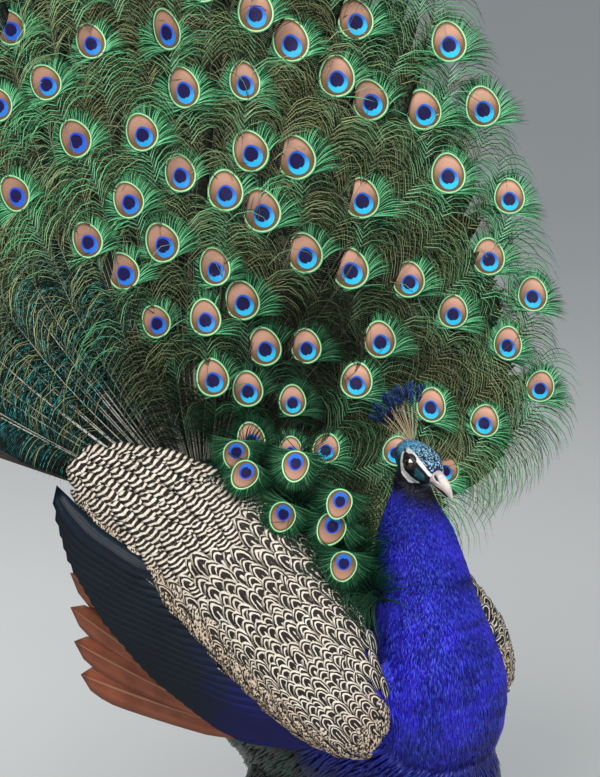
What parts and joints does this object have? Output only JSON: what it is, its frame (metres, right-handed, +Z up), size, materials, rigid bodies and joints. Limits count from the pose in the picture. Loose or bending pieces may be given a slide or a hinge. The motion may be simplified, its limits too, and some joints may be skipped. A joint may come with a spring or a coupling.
{
  "type": "displaying peacock model",
  "caption": "Life-size peacock standing in display: blue neck and crested head, barred wings, upright fan of eyespotted train feathers.",
  "frame": {"origin": "middle of the bounding box at the floor the bird stands on", "axes": "+Z up; the bird's breast faces -Y and its right wing is on the -X side; the train stands up behind it, across X"},
  "size_m": [1.1144, 0.6356, 1.5298],
  "materials": {
    "cobalt_plumage": "glossy cobalt-blue feathers",
    "brown_eye": "wet dark brown eye",
    "pale_horn_bill": "satin pale pinkish horn",
    "crest_plumage": "bare pale shafts with blue tips",
    "barred_plumage": "cream feathers with wavy black bars",
    "blue_black_quills": "satin blue-black quills with a green sheen",
    "rufous_quills": "satin chestnut quills",
    "green_train": "metallic green and bronze feathers with eyespots",
    "grey_brown_quills": "matt grey-brown quills",
    "buff_down": "soft dark buff down",
    "grey_brown_scales": "scaly grey-brown skin and claws"
  },
  "bodies": {
    "root": {"back": "green_train", "bill_lower": "pale_horn_bill", "bill_upper": "pale_horn_bill", "crest": "crest_plumage", "eye_left": "brown_eye", "eye_right": "brown_eye", "foot_left": "grey_brown_scales", "foot_right": "grey_brown_scales", "head": "cobalt_plumage", "neck_lower": "cobalt_plumage", "neck_upper": "cobalt_plumage", "primaries_left": "rufous_quills", "primaries_right": "rufous_quills", "secondaries_left": "blue_black_quills", "secondaries_right": "blue_black_quills", "shank_left": "grey_brown_scales", "shank_right": "grey_brown_scales", "tail": "grey_brown_quills", "thigh_left": "buff_down", "thigh_right": "buff_down", "train_inner_1": "green_train", "train_inner_2": "green_train", "train_inner_3": "green_train", "train_inner_4": "green_train", "train_inner_5": "green_train", "train_inner_6": "green_train", "train_inner_7": "green_train", "train_inner_8": "green_train", "train_middle_1": "green_train", "train_middle_2": "green_train", "train_middle_3": "green_train", "train_middle_4": "green_train", "train_middle_5": "green_train", "train_middle_6": "green_train", "train_middle_7": "green_train", "train_middle_8": "green_train", "train_outer_1": "green_train", "train_outer_2": "green_train", "train_outer_3": "green_train", "train_outer_4": "green_train", "train_outer_5": "green_train", "train_outer_6": "green_train", "train_outer_7": "green_train", "train_outer_8": "green_train", "trunk": "cobalt_plumage", "wing_left": "barred_plumage", "wing_right": "barred_plumage"}
  },
  "joints": []
}
